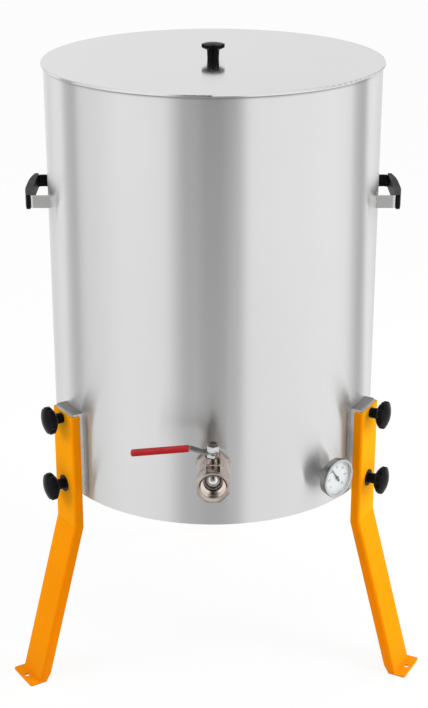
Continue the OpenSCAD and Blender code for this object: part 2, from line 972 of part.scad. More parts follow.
// The side view of the cranked strip, running from the hub towards -X
function crank_line(offset) = [
    [lever_hub_r - eps, lever_z + offset],
    [-lever_crank_start, lever_z + offset],
    [-lever_crank_end, lever_z + lever_rise + offset],
    [-lever_len + sleeve_w / 2, lever_z + lever_rise + offset - lever_drop]
];
lever_drop = (lever_len - sleeve_w / 2 - lever_crank_end) * tan(lever_droop);

function reversed(list) = [for (i = [len(list) - 1 : -1 : 0]) list[i]];

module lever_strip(w, spare) {
    rotate([90, 0, 0])
        translate([0, 0, -w / 2])
            linear_extrude(w)
                polygon(concat(crank_line(-spare), reversed(crank_line(lever_t + spare))));
}

module valve_lever() {
    color("lightgray")
        on_stem()
            difference() {
                union() {
                    intersection() {
                        lever_strip(lever_w, 0);
                        translate([-far, -far / 2, 0])
                            cube([far, far, far]);
                    }
                    translate([0, 0, lever_z])
                        cylinder(r = lever_hub_r, h = lever_t);
                }
                intersection() {
                    translate([0, 0, lever_z - eps])
                        cylinder(r = stem_d / 2 + run_gap, h = lever_t + 2 * eps);
                    translate([-stem_d, -stem_flat / 2 - run_gap, lever_z - eps])
                        cube([2 * stem_d, stem_flat + 2 * run_gap, lever_t + 2 * eps]);
                }
            }
}

// A dipped vinyl sleeve with round edges and a round tip, laid along the drooping grip
module lever_sleeve() {
    grip_z = lever_z + lever_rise + lever_t / 2;
    body_end = lever_len - sleeve_w / 2;
    tip_end = lever_len - sleeve_h / 2;
    color("firebrick")
        on_stem()
            difference() {
                translate([-lever_crank_end, 0, grip_z])
                    rotate([0, -lever_droop, 0])
                        translate([lever_crank_end, 0, 0])
                            intersection() {
                                translate([-lever_len, 0, 0])
                                    rotate([90, 0, 90])
                                        linear_extrude(lever_len - sleeve_start)
                                            sleeve_section();
                                translate([0, 0, -sleeve_h])
                                    linear_extrude(2 * sleeve_h)
                                        union() {
                                            translate([-body_end, -sleeve_w])
                                                square([body_end, 2 * sleeve_w]);
                                            translate([-body_end, 0])
                                                circle(d = sleeve_w);
                                        }
                                translate([0, sleeve_w, 0])
                                    rotate([90, 0, 0])
                                        linear_extrude(2 * sleeve_w)
                                            union() {
                                                translate([-tip_end, -sleeve_h])
                                                    square([tip_end, 2 * sleeve_h]);
                                                translate([-tip_end, 0])
                                                    circle(d = sleeve_h);
                                            }
                            }
                lever_strip(lever_w + 2 * seat_gap, seat_gap);
            }
}

module sleeve_section() {
    side_r = sleeve_h / 2;
    square([sleeve_w - 2 * side_r, sleeve_h], center = true);
    for (side = [-1, 1])
        translate([side * (sleeve_w / 2 - side_r), 0])
            circle(r = side_r);
}

module lever_nut() {
    color("silver")
        on_stem()
            translate([0, 0, lever_top])
                difference() {
                    flat_sided_bar(6, lever_nut_af, lever_nut_h, nut_chamfer);
                    translate([0, 0, -eps])
                        cylinder(r = stem_thread_d / 2 + run_gap, h = lever_nut_h + 2 * eps);
                }
}

// Thermometer

module thermometer_probe() {
    thread_end = tank_r - shell_t - thermo_socket_in;
    color("silver")
        at_thermometer()
            difference() {
                union() {
                    translate([0, 0, hex_back])
                        flat_sided_bar(6, thermo_hex_af, thermo_hex_h, nut_chamfer);
                    translate([0, 0, thread_end])
                        cylinder(d = thermo_thread_d, h = hex_back - thread_end + nut_chamfer);
                    translate([0, 0, probe_tip + probe_d / 2])
                        cylinder(d = probe_d, h = probe_len);
                    translate([0, 0, probe_tip + probe_d / 2])
                        sphere(d = probe_d);
                }
                translate([0, 0, case_back - spindle_in - seat_gap])
                    cylinder(r = spindle_r + run_gap, h = spindle_in + 2 * eps);
            }
}

module thermometer_seal() {
    color("firebrick")
        at_thermometer()
            translate([0, 0, socket_end])
                tube(thermo_hex_af / 2, thermo_thread_d / 2 + seat_gap, thermo_seal_t);
}

module thermometer_case() {
    color("silver")
        at_thermometer()
            translate([0, 0, case_back])
                difference() {
                    cylinder(d = case_d, h = case_depth);
                    translate([0, 0, dial_back - case_back])
                        cylinder(r = case_in_r, h = case_depth);
                    translate([0, 0, case_wall])
                        cylinder(r = case_in_r - ledge_w, h = case_depth);
                    translate([0, 0, -eps])
                        cylinder(r = spindle_r + run_gap, h = case_wall + 2 * eps);
                }
}

module thermometer_dial() {
    color("white")
        at_thermometer()
            translate([0, 0, dial_back])
                tube(case_in_r - seat_gap, spindle_r + move_gap, dial_t);
}

module thermometer_pointer() {
    color("black")
        at_thermometer() {
            translate([0, 0, pointer_back])
                rotate([0, 0, -pointer_angle])
                    linear_extrude(pointer_t)
                        polygon([
                            [-pointer_w / 2, 0], [-pointer_tail_w / 2, -pointer_tail],
                            [pointer_tail_w / 2, -pointer_tail], [pointer_w / 2, 0],
                            [pointer_tip_w / 2, pointer_len], [-pointer_tip_w / 2, pointer_len]
                        ]);
            translate([0, 0, pointer_back])
                cylinder(r = pointer_hub_r, h = pointer_hub_h);
            translate([0, 0, case_back - spindle_in])
                cylinder(r = spindle_r, h = pointer_back + pointer_t - case_back + spindle_in);
        }
}

module thermometer_glass() {
    color([0.85, 0.92, 0.95, 0.35])
        at_thermometer()
            translate([0, 0, glass_back])
                cylinder(r = case_in_r - seat_gap, h = glass_t);
}

// A rolled ring that hooks over the case and holds the glass
module thermometer_bezel() {
    outer_r = bezel_d / 2;
    color("gainsboro")
        at_thermometer()
            translate([0, 0, bezel_front])
                rotate_extrude()
                    difference() {
                        union() {
                            translate([window_d / 2, -bezel_len])
                                square([outer_r - bezel_edge_r - window_d / 2, bezel_len]);
                            translate([window_d / 2, -bezel_len])
                                square([outer_r - window_d / 2, bezel_len - bezel_edge_r]);
                            translate([outer_r - bezel_edge_r, -bezel_edge_r])
                                circle(r = bezel_edge_r);
                        }
                        translate([0, -bezel_len - eps])
                            square([case_d / 2 + seat_gap, bezel_len - bezel_lip_t + eps]);
                    }
}

// The assembly

tank_shell();
tank_floor();
outlet_socket();
thermometer_socket();
for (i = [0 : 2]) {
    leg_bracket(leg_azimuth[i]);
    leg(leg_azimuth[i]);
    knob_washer(leg_azimuth[i]);
    for (j = [0 : 1]) {
        leg_knob(leg_azimuth[i], j);
        knob_stud(leg_azimuth[i], j);
    }
}
bracket_nuts();
for (i = [0 : 1]) {
    handle_strap(handle_azimuth[i]);
    handle_grip(handle_azimuth[i]);
}
lid();
lid_knob();
lid_knob_washer();
lid_knob_screw();
valve_body();
valve_end_cap();
valve_cap_seal();
valve_seats();
valve_ball();
valve_stem();
stem_packing();
gland_nut();
valve_lever();
lever_sleeve();
lever_nut();
thermometer_probe();
thermometer_seal();
thermometer_case();
thermometer_dial();
thermometer_pointer();
thermometer_glass();
thermometer_bezel();
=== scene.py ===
# %% [markdown]
# # A honey settling tank
#
# The real object is a rolled stainless drum on three orange sheet-metal legs. Honey stands in it until
# the wax and the air have risen, and is then drawn off through the ball valve at the front.
# The solid pieces come ready made from the frame, at their real size. This lesson gives every one of them
# its finish, adds what is too fine for the solids (print, thread, weld beads), and lights the whole.

# %% Load the frame
import json
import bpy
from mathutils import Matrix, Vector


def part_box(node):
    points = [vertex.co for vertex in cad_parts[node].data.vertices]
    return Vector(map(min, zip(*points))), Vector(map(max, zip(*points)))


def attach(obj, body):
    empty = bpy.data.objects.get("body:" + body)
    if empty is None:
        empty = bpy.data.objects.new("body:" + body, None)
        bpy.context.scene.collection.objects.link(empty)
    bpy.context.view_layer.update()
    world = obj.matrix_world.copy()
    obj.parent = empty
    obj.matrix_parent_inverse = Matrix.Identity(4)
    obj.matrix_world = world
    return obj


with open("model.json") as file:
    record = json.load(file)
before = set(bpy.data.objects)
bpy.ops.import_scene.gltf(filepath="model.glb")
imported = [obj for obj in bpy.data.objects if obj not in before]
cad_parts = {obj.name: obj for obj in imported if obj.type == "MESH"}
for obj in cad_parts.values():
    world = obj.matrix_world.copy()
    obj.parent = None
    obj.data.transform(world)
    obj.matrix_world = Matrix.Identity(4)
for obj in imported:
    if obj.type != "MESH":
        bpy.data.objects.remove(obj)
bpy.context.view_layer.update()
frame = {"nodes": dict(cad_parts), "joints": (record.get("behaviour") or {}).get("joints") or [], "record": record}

from fnmatch import fnmatchcase
from math import atan2, cos, pi, radians, sin, sqrt

import bmesh
import bpy
from mathutils import Matrix, Vector

nodes = frame["nodes"]
joints = {joint["name"]: joint for joint in frame["joints"]}
mounts = {mount["name"]: mount for mount in frame["record"]["mounts"]}
scene = bpy.context.scene
MM = 0.001

# %% [markdown]
# ## The camera
#
# The picture was taken from well above the lid with a longish lens. Where the camera stood follows from the
# ellipses of the lid and of the drum's lower edge, so it is set once and everything is judged through it.

# %% Camera
camera_place = (0.0014, -2.480, 1.492)
camera_tilt = radians(68.45)
camera_lens = 79.26

camera_data = bpy.data.cameras.new("camera")
camera_data.lens = camera_lens
camera_data.sensor_width = 36
camera = bpy.data.objects.new("camera", camera_data)
camera.location = camera_place
camera.rotation_euler = (camera_tilt, 0, 0)
scene.collection.objects.link(camera)
scene.camera = camera
scene.view_settings.view_transform = "Standard"
print("camera", round(-camera_place[1], 2), "m in front and", camera_place[2], "m up")

# %% [markdown]
# ## Small helpers for nodes
#
# A material is a little network of nodes. It could be clicked together in the Shader Editor, but a script can
# be read and changed later. The first helper adds a node, the second joins two sockets or writes a plain
# value, and the others do sums with numbers and places.

# %% Node helpers
def add_node(tree, kind, settings=None, values=None):
    """Adds a node, sets its properties, and gives its unlinked inputs their values."""
    made = tree.nodes.new("ShaderNode" + kind)
    for name, value in (settings or {}).items():
        setattr(made, name, value)
    for name, value in (values or {}).items():
        made.inputs[name].default_value = value
    return made


def join(tree, value, target):
    """Joins a socket to an input, or writes a plain value there."""
    if isinstance(value, bpy.types.NodeSocket):
        tree.links.new(value, target)
    else:
        target.default_value = value


def math_node(tree, operation, *values):
    made = add_node(tree, "Math", {"operation": operation})
    for value, target in zip(values, made.inputs):
        join(tree, value, target)
    return made.outputs[0]


def split(tree, vector):
    """A vector's x, y and z."""
    made = add_node(tree, "SeparateXYZ")
    join(tree, vector, made.inputs[0])
    return made.outputs


def object_place(tree):
    """Where a point lies on its object."""
    return add_node(tree, "TexCoord").outputs["Object"]


print("node helpers ready")

# %% [markdown]
# ## Mixing and mapping
#
# Most finishes come down to two moves: a noise or a place is mapped from one range of values to another, and
# the result mixes two colours. The Mix node has one set of sockets for each kind of value, all in one row, so
# these helpers pick the right ones by their number.

# %% Mixing helpers
def number_mix(tree, factor, first, second):
    made = add_node(tree, "Mix", {"data_type": "FLOAT"})
    for value, index in ((factor, 0), (first, 2), (second, 3)):
        join(tree, value, made.inputs[index])
    return made.outputs[0]


def colour_mix(tree, factor, first, second, blend="MIX"):
    made = add_node(tree, "Mix", {"data_type": "RGBA", "blend_type": blend})
    for value, index in ((factor, 0), (first, 6), (second, 7)):
        join(tree, value, made.inputs[index])
    return made.outputs[2]


def shader_mix(tree, factor, first, second):
    made = add_node(tree, "MixShader")
    for value, target in zip((factor, first, second), made.inputs):
        join(tree, value, target)
    return made.outputs[0]


def map_range(tree, source, from_range, to_range=(0.0, 1.0), smooth=False):
    """Maps one range of values to another and holds its ends beyond it."""
    made = add_node(tree, "MapRange", {"interpolation_type": "SMOOTHSTEP" if smooth else "LINEAR"})
    join(tree, source, made.inputs["Value"])
    for name, value in zip(("From Min", "From Max", "To Min", "To Max"), (*from_range, *to_range)):
        join(tree, value, made.inputs[name])
    return made.outputs["Result"]


def grey(level):
    return (level, level, level, 1)


def shade(colour, share=1.0):
    """A colour made darker or paler, with the alpha that a colour socket wants."""
    return (colour[0] * share, colour[1] * share, colour[2] * share, 1)


print("mixing helpers ready")

# %% [markdown]
# ## The studio
#
# Satin steel has hardly any colour of its own: it shows the room. The drum in the picture carries two broad
# bright fields, a darker band in its middle and two narrow darker bands near its edges. So the room has a
# wide soft light on each side, a dim gap behind the camera, a narrow gap beside each light and a pale wall
# behind. Big glowing panels could be built for this, but the sky of the scene can be drawn to the degree and
# costs nothing to render. First each direction gets its place on a compass, as a share of a full turn.

# %% Room compass
# On the right the lights lean: seen further down, their edges lie further round to the back.
# Heights of view are sines of the angle above the horizon.
lean_heights = (-0.40, -0.24)
lean_turn = -0.051
right_side = (0.61, 0.74)

world = bpy.data.worlds.new("studio")
scene.world = world
world.use_nodes = True
tree = world.node_tree
tree.nodes.clear()
way = split(tree, add_node(tree, "TexCoord").outputs["Generated"])
view_height = way["Z"]
towards_camera = math_node(tree, "MULTIPLY", way["Y"], -1.0)
compass = math_node(tree, "ARCTAN2", way["X"], towards_camera)
upright_turn = math_node(tree, "MULTIPLY_ADD", compass, 1 / (2 * pi), 0.5)
lean = map_range(tree, view_height, lean_heights, (lean_turn, 0.0))
on_right = map_range(tree, upright_turn, right_side, smooth=True)
turn = math_node(tree, "ADD", upright_turn, math_node(tree, "MULTIPLY", lean, on_right))
print("the lights on the right lean by up to", round(-360 * lean_turn), "degrees")

# %% [markdown]
# ## How bright the room is
#
# One ramp over the compass draws the lights and the gaps. The gap behind the camera gets darker a little below
# eye level and once more above it, which gives the valve's polished parts their dark streaks. The camera's
# stand is a narrow dark post in its middle. Straight down lies the dim floor and straight up a pale ceiling.
# To the camera itself the room is one plain near-white, like the floor.

# %% Room brightness
# Compass angle in degrees (0 is behind the camera, positive to the right) and brightness of the room there
room = [
    (-180, 0.86), (-160, 0.92), (-146, 0.76), (-136, 0.94), (-122, 0.95), (-118, 0.53), (-106, 0.50),
    (-102, 0.88), (-86, 0.88), (-66, 1.00), (-44, 0.99), (-31, 0.95), (-20, 0.80), (-8, 0.78), (0, 0.79),
    (8, 0.78), (19, 0.84), (24, 1.00), (88, 1.03), (105, 0.95), (109, 0.56), (122, 0.52), (127, 1.00),
    (138, 0.96), (152, 0.82), (180, 0.86),
]
gap_shade = [(-32, 1.0), (-19, 0.41), (14, 0.41), (24, 1.0)]
stand_shade = [(-10, 1.0), (-6, 0.2), (6, 0.2), (10, 1.0)]
gap_heights = (-0.38, -0.22)
dark_gap_heights = (0.14, 0.32)
stand_heights = (-0.16, -0.06)
floor_heights = (-0.90, -0.55)
ceiling_heights = (0.60, 0.92)
floor_level = 0.45
ceiling_level = 0.95
level_to_camera = 0.975


def round_compass(stops):
    """Grey levels round the compass, as a colour ramp."""
    made = add_node(tree, "ValToRGB")
    elements = made.color_ramp.elements
    while len(elements) < len(stops):
        elements.new(0.5)
    for element, (angle, bright) in zip(elements, stops):
        element.position = (angle + 180) / 360
        element.color = grey(bright)
    join(tree, turn, made.inputs[0])
    return made.outputs[0]


def from_height(heights, below, above):
    """One level below a height of view and another above it."""
    return colour_mix(tree, map_range(tree, view_height, heights, smooth=True), below, above)


level = round_compass(room)
for stops, heights in (
    (gap_shade, gap_heights), (gap_shade, dark_gap_heights), (stand_shade, stand_heights)
):
    level = from_height(heights, level, colour_mix(tree, 1.0, level, round_compass(stops), "MULTIPLY"))
level = from_height(floor_heights, grey(floor_level), level)
level = from_height(ceiling_heights, level, grey(ceiling_level))
looked_at = add_node(tree, "LightPath").outputs["Is Camera Ray"]
background = add_node(tree, "Background", None, {"Strength": 1.0})
join(tree, colour_mix(tree, looked_at, level, grey(level_to_camera)), background.inputs["Color"])
join(tree, background.outputs[0], add_node(tree, "OutputWorld").inputs["Surface"])
print("room light with", len(room), "stops round the compass")

# %% [markdown]
# ## Lamps
#
# The room alone gives hardly any shadow, so three soft round lamps help it: one at each side, and a small low
# one at the right that lights the right leg's broad side, which is paler than the left one's. They are left
# out of the mirror images, because a lamp's round spot on the drum would look false.

# %% Lamps
tank_middle = (0, 0, 0.4)
right_leg = (0.35, -0.18, 0.3)


def lamp(name, place, target, size, power):
    data = bpy.data.lights.new(name, "AREA")
    data.shape = "DISK"
    data.size = size
    data.energy = power
    made = bpy.data.objects.new(name, data)
    made.location = place
    made.rotation_euler = (Vector(target) - Vector(place)).to_track_quat("-Z", "Y").to_euler()
    made.visible_glossy = False
    scene.collection.objects.link(made)
    print(name, "lamp of", power, "W")


lamp("key", (2.3, -0.9, 1.9), tank_middle, 1.0, 30)
lamp("fill", (-2.3, -0.9, 1.7), tank_middle, 1.2, 20)
lamp("rim", (1.6, 0.75, 0.6), right_leg, 0.5, 12)

# %% [markdown]
# ## Floor
#
# The picture has a white ground, and a wide sheet of paper stands for it. To the camera it glows nearly white
# and keeps the object's soft shadow. To other light it is plain pale paper, and mirror rays pass through it
# to the room, so that the drum's bands run on down to its lower edge. One material can do all three, because
# Light Path tells it which kind of ray has come.

# %% Floor
floor_half = 30.0
glow_share = 0.90

corners = [(x * floor_half, y * floor_half, 0) for x, y in ((-1, -1), (1, -1), (1, 1), (-1, 1))]
floor_mesh = bpy.data.meshes.new("floor")
floor_mesh.from_pydata(corners, [], [(0, 1, 2, 3)])
floor = bpy.data.objects.new("floor", floor_mesh)
scene.collection.objects.link(floor)

paper = bpy.data.materials.new("floor_paper")
paper.use_nodes = True
tree = paper.node_tree
tree.nodes.clear()
ray = add_node(tree, "LightPath").outputs
pale = add_node(tree, "BsdfDiffuse", None, {"Color": grey(0.86)}).outputs[0]
glow = add_node(tree, "Emission", None, {"Color": grey(1.0), "Strength": 1.0}).outputs[0]
clear = add_node(tree, "BsdfTransparent").outputs[0]
lit = shader_mix(tree, math_node(tree, "MULTIPLY", ray["Is Camera Ray"], glow_share), pale, glow)
shown = shader_mix(tree, ray["Is Glossy Ray"], lit, clear)
join(tree, shown, add_node(tree, "OutputMaterial").inputs["Surface"])
floor_mesh.materials.append(paper)
print("floor", 2 * floor_half, "m wide")

# %% [markdown]
# ## Rolled sheet, as a shared effect
#
# Rolled sheet has fine lines along the rolling direction, and cloudy patches where hands have been. Many
# finishes here need both. They could be drawn anew in each material, but as a node group with named inputs
# they are built once, and each finish places the group with its own values. Round is 1 on a drum, whose
# lines run round it, and 0 on a flat sheet.

# %% Sheet grain group
def new_group(name, inputs, *outputs):
    """A shader group with number inputs (name and default) and number outputs."""
    group = bpy.data.node_groups.new(name, "ShaderNodeTree")
    for label, value in inputs.items():
        socket = group.interface.new_socket(label, in_out="INPUT", socket_type="NodeSocketFloat")
        socket.default_value = value
    for label in outputs:
        group.interface.new_socket(label, in_out="OUTPUT", socket_type="NodeSocketFloat")
    return group, group.nodes.new("NodeGroupInput").outputs, group.nodes.new("NodeGroupOutput").inputs


def noise(tree, vector, scale, detail, roughness=0.5):
    made = add_node(tree, "TexNoise", None, {"Detail": detail, "Roughness": roughness})
    join(tree, vector, made.inputs["Vector"])
    join(tree, scale, made.inputs["Scale"])
    return made.outputs[0]


sheet_grain, into, out = new_group(
    "sheet_grain", {"Round": 0.0, "Lines per metre": 1500.0, "Along": 4.0, "Cloud scale": 5.0},
    "Lines", "Cloud",
)
place = object_place(sheet_grain)
xyz = split(sheet_grain, place)
angle = math_node(sheet_grain, "ARCTAN2", xyz["X"], math_node(sheet_grain, "MULTIPLY", xyz["Y"], -1.0))
along = number_mix(sheet_grain, into["Round"], xyz["X"], angle)
across = number_mix(sheet_grain, into["Round"], xyz["Y"], xyz["Z"])
stretched = add_node(sheet_grain, "CombineXYZ")
join(sheet_grain, math_node(sheet_grain, "MULTIPLY", along, into["Along"]), stretched.inputs[0])
join(sheet_grain, math_node(sheet_grain, "MULTIPLY", across, into["Lines per metre"]), stretched.inputs[1])
join(sheet_grain, noise(sheet_grain, stretched.outputs[0], 1.0, 3.0, 0.6), out["Lines"])
join(sheet_grain, noise(sheet_grain, place, into["Cloud scale"], 4.0, 0.6), out["Cloud"])
print("group", sheet_grain.name)

# %% [markdown]
# ## Moulded skin, and dust and shade low down
#
# Moulded, cast and sprayed surfaces have an even grain with a slow waviness under it. What stands on a floor
# also gathers dust and scuffs, most of it low down and in patches, and the same kind of mask carries a painted
# shade low down on the legs. These are the two other shared groups.

# %% Skin grain and dust-and-shade groups
skin_grain, into, out = new_group(
    "skin_grain", {"Grain per metre": 900.0, "Cloud scale": 25.0}, "Grain", "Cloud"
)
place = object_place(skin_grain)
join(skin_grain, noise(skin_grain, place, into["Grain per metre"], 2.0), out["Grain"])
join(skin_grain, noise(skin_grain, place, into["Cloud scale"], 3.0), out["Cloud"])

# One mask low down and in patches: real dust at the feet, and a painted shade low on the legs.
dust_and_low_shade, into, out = new_group("dust_and_low_shade", {"Reach": 0.09, "Patch scale": 60.0}, "Dust and shade")
place = object_place(dust_and_low_shade)
low_down = map_range(dust_and_low_shade, split(dust_and_low_shade, place)["Z"], (0.0, into["Reach"]), (1.0, 0.0), smooth=True)
patches = noise(dust_and_low_shade, place, into["Patch scale"], 4.0, 0.65)
join(dust_and_low_shade, math_node(dust_and_low_shade, "MULTIPLY", low_down, patches), out["Dust and shade"])
print("groups", [group.name for group in bpy.data.node_groups])

# %% [markdown]
# ## A finish and how it is put on
#
# Every finish is one material with one Principled shader. What is the same all over is set on the shader's
# own sockets, and only what changes over the surface is linked. A second colour can be laid over a finish
# where a mask says so: painted shade under a lip, on tops, on outer walls and in a bore. One such mask is for
# mirror rays. Satin steel shows its neighbours only faintly, so some finishes turn towards grey when they are
# seen in a mirror.

# %% Finish helpers
noise_range = (0.3, 0.7)
mirror_grey = 0.62


def new_finish(name, sockets):
    made = bpy.data.materials.new(name)
    made.use_nodes = True
    shader = made.node_tree.nodes["Principled BSDF"]
    for label, value in sockets.items():
        shader.inputs[label].default_value = value
    return made, made.node_tree, shader


def place_group(tree, group, values):
    return add_node(tree, "Group", {"node_tree": group}, values).outputs


def spread(tree, source, low, high):
    """Stretches the usual range of a noise to the range from low to high."""
    return map_range(tree, source, noise_range, (low, high))


def bump(tree, shader, height, strength, depth):
    made = add_node(tree, "Bump", None, {"Strength": strength, "Distance": depth})
    join(tree, height, made.inputs["Height"])
    join(tree, made.outputs[0], shader.inputs["Normal"])


def lay_over(finish, colour, make_mask):
    """Lays a colour over a finish where a mask, made in the finish's own tree, is 1."""
    tree = finish.node_tree
    base = tree.nodes["Principled BSDF"].inputs["Base Color"]
    join(tree, colour_mix(tree, make_mask(tree), base.links[0].from_socket, colour), base)


def fade_in_mirrors(finish, share):
    def mirrored(tree):
        return math_node(tree, "MULTIPLY", add_node(tree, "LightPath").outputs["Is Glossy Ray"], share)

    lay_over(finish, grey(mirror_grey), mirrored)


def coat(finish, *names):
    """Puts a finish on solids. A star in a name stands for any letters."""
    coated = [node for node in nodes if any(fnmatchcase(node, name) for name in names)]
    for node in coated:
        nodes[node].data.materials.clear()
        nodes[node].data.materials.append(finish)
    print(finish.name, "on", len(coated), "solids")


print("finish helpers ready")

# %% [markdown]
# ## The drum's stainless sheet
#
# A metal's colour sits in Base Color with Metallic at 1. The rolling lines and clouds only stir the roughness
# and a very shallow bump. The drum's lines run round it and smear every mirror image upwards and downwards,
# which is what the anisotropy along the tangent does: the legs and the lever hardly show in the drum, the
# room's bands do. Close under the lid's lip the drum is darker, a painted shade under the lip.

# %% Drum steel
# The lines and the clouds added together mostly lie between these values
stir_range = (0.7, 1.3)


def steel(
    name, colour, roughness, grain, swing=0.05, dull=0.93,
    line_depth=0.02 * MM, line_strength=0.12, sockets=None,
):
    """Steel sheet. Swing is how far the roughness goes up and down, dull the darkest share of the colour."""
    finish, tree, shader = new_finish(name, {"Metallic": 1.0, **(sockets or {})})
    made = place_group(tree, sheet_grain, grain)
    tint = colour_mix(tree, spread(tree, made["Cloud"], 0, 1), shade(colour, dull), shade(colour))
    join(tree, tint, shader.inputs["Base Color"])
    stir = math_node(tree, "ADD", made["Lines"], made["Cloud"])
    rough = map_range(tree, stir, stir_range, (roughness - swing, roughness + swing))
    join(tree, rough, shader.inputs["Roughness"])
    bump(tree, shader, made["Lines"], line_strength, line_depth)
    return finish


def sheet(lines, along, clouds, curled=0.0):
    """The sheet_grain group's values for one finish."""
    return {"Round": curled, "Lines per metre": lines, "Along": along, "Cloud scale": clouds}


drum_steel = steel(
    "drum_steel", (0.80, 0.80, 0.80), 0.285, sheet(1400.0, 5.0, 4.0, curled=1.0), swing=0.004, dull=0.97,
    line_strength=0.006, sockets={"Anisotropic": 1.0, "Anisotropic Rotation": 0.25},
)
tree = drum_steel.node_tree
rolling_way = add_node(tree, "Tangent", {"direction_type": "RADIAL", "axis": "Z"})
join(tree, rolling_way.outputs[0], tree.nodes["Principled BSDF"].inputs["Tangent"])

lip_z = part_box("lid")[0].z
lip_shade_heights = (lip_z - 6 * MM, lip_z - 1 * MM)
lip_shade_share = 0.6


def film_under_lip(tree):
    height = split(tree, object_place(tree))["Z"]
    return map_range(tree, height, lip_shade_heights, (0.0, lip_shade_share), smooth=True)


# Painted shade: a darker band just under the lid's lip.
lay_over(drum_steel, grey(0.30), film_under_lip)
coat(drum_steel, "tank_shell", "tank_floor")

# %% [markdown]
# ## The other steels
#
# Lid and handle straps are the same stainless sheet with another gloss: the lid mirrors its knob softly, the
# straps are duller. The brackets are coarser, and a painted shade makes them darker on top. Nuts, studs and
# screws are zinc plated, and the lever and the stem's end have gone dark with handling. One function makes
# them all.

# %% Other steels
lid_steel = steel(
    "lid_steel", (0.78, 0.78, 0.78), 0.12, sheet(1400.0, 5.0, 6.0), swing=0.03, dull=0.97
)
strap_steel = steel("strap_steel", (0.72, 0.72, 0.71), 0.28, sheet(2200.0, 40.0, 30.0))
turned_steel = steel("turned_steel", (0.62, 0.62, 0.61), 0.24, sheet(3000.0, 200.0, 60.0))
bracket_steel = steel(
    "bracket_steel", (0.82, 0.82, 0.81), 0.45, sheet(900.0, 120.0, 45.0), swing=0.08, dull=0.75,
    line_depth=0.05 * MM, line_strength=0.25,
)
zinc_plate = steel(
    "zinc_plate", (0.70, 0.71, 0.70), 0.26, sheet(700.0, 500.0, 140.0), swing=0.08, dull=0.75
)
lever_steel = steel(
    "lever_steel", (0.40, 0.41, 0.40), 0.28, sheet(700.0, 500.0, 140.0), swing=0.08, dull=0.75
)
dark_stem = steel(
    "dark_stem", (0.20, 0.17, 0.17), 0.38, sheet(2500.0, 900.0, 200.0), swing=0.08, dull=0.7
)
facing_up = (0.4, 0.9)


def topside(tree):
    facing = split(tree, add_node(tree, "NewGeometry").outputs["Normal"])
    return map_range(tree, facing["Z"], facing_up)


# Painted shade: faces that look upwards are darker.
lay_over(bracket_steel, grey(0.28), topside)
coat(lid_steel, "lid")
coat(strap_steel, "handle_strap_*")
coat(turned_steel, "outlet_socket", "thermometer_socket", "thermometer_probe")
coat(bracket_steel, "leg_bracket_*")
coat(zinc_plate, "bracket_nuts", "knob_stud_*", "lid_knob_washer", "lid_knob_screw", "gland_nut", "lever_nut")
coat(lever_steel, "valve_lever")
coat(dark_stem, "valve_stem")

# %% [markdown]
# ## Orange powder coat
#
# The legs are sprayed with powder and baked, which leaves a smooth skin with a faint orange-peel texture. A
# yellow sheen makes the paint glow where it is seen at a low angle, which a plain glossy coat wouldn't. Low
# down the orange is deeper in patches, a painted shade, and at the feet dust and scuffs take the colour away.

# %% Leg paint
paint_orange = (0.95, 0.27, 0.001)
paint_shaded_low = (0.85, 0.205, 0.0005)
paint_dusty = (0.55, 0.20, 0.02)
low_shade_range = (0.02, 0.45)
dust_range = (0.15, 0.7)
dust_share = 0.22

leg_paint, tree, shader = new_finish("leg_paint", {
    "IOR": 1.12, "Specular IOR Level": 0.05, "Coat Weight": 0.01, "Coat Roughness": 0.10,
    "Sheen Weight": 1.0, "Sheen Roughness": 0.5, "Sheen Tint": (1.0, 0.74, 0.01, 1),
})
made = place_group(tree, skin_grain, {"Grain per metre": 420.0, "Cloud scale": 14.0})
low_shade = place_group(tree, dust_and_low_shade, {"Reach": 0.52, "Patch scale": 6.0})["Dust and shade"]
dust = place_group(tree, dust_and_low_shade, {"Reach": 0.10, "Patch scale": 70.0})["Dust and shade"]
paint = colour_mix(tree, spread(tree, made["Cloud"], 0, 1), shade(paint_orange, 0.95), shade(paint_orange))
# Painted shade: low down the orange gets darker in patches.
paint = colour_mix(tree, map_range(tree, low_shade, low_shade_range), paint, shade(paint_shaded_low))
paint = colour_mix(tree, map_range(tree, dust, dust_range, (0.0, dust_share)), paint, shade(paint_dusty))
join(tree, paint, shader.inputs["Base Color"])
join(tree, spread(tree, made["Cloud"], 0.30, 0.40), shader.inputs["Roughness"])
bump(tree, shader, made["Grain"], 0.06, 0.3 * MM)
fade_in_mirrors(leg_paint, 0.8)
coat(leg_paint, "leg_left", "leg_right", "leg_rear")

# %% [markdown]
# ## Black plastic and red vinyl
#
# The knobs and the handle grips are black mouldings, the knobs glossier than the grips. The lever's sleeve is
# vinyl that the hot lever was dipped in: soft, slightly uneven and half glossy. The seals are white and red.
# The lid's knob has a finish of its own, because the lid mirrors it more clearly than the drum does the rest.

# %% Plastic finishes
knob_black = (0.004, 0.004, 0.005)


def plastic(name, colour, roughness, grain, grain_strength, grain_depth=0.1 * MM, pale=1.6, sockets=None):
    """A moulding. Pale is the lightest share of its colour."""
    swing = 0.06
    finish, tree, shader = new_finish(name, sockets or {})
    made = place_group(tree, skin_grain, grain)
    tint = colour_mix(tree, spread(tree, made["Cloud"], 0, 1), shade(colour), shade(colour, pale))
    join(tree, tint, shader.inputs["Base Color"])
    join(tree, spread(tree, made["Cloud"], roughness - swing, roughness + swing), shader.inputs["Roughness"])
    bump(tree, shader, made["Grain"], grain_strength, grain_depth)
    return finish


def skin(grain, clouds):
    """The skin_grain group's values for one finish."""
    return {"Grain per metre": grain, "Cloud scale": clouds}


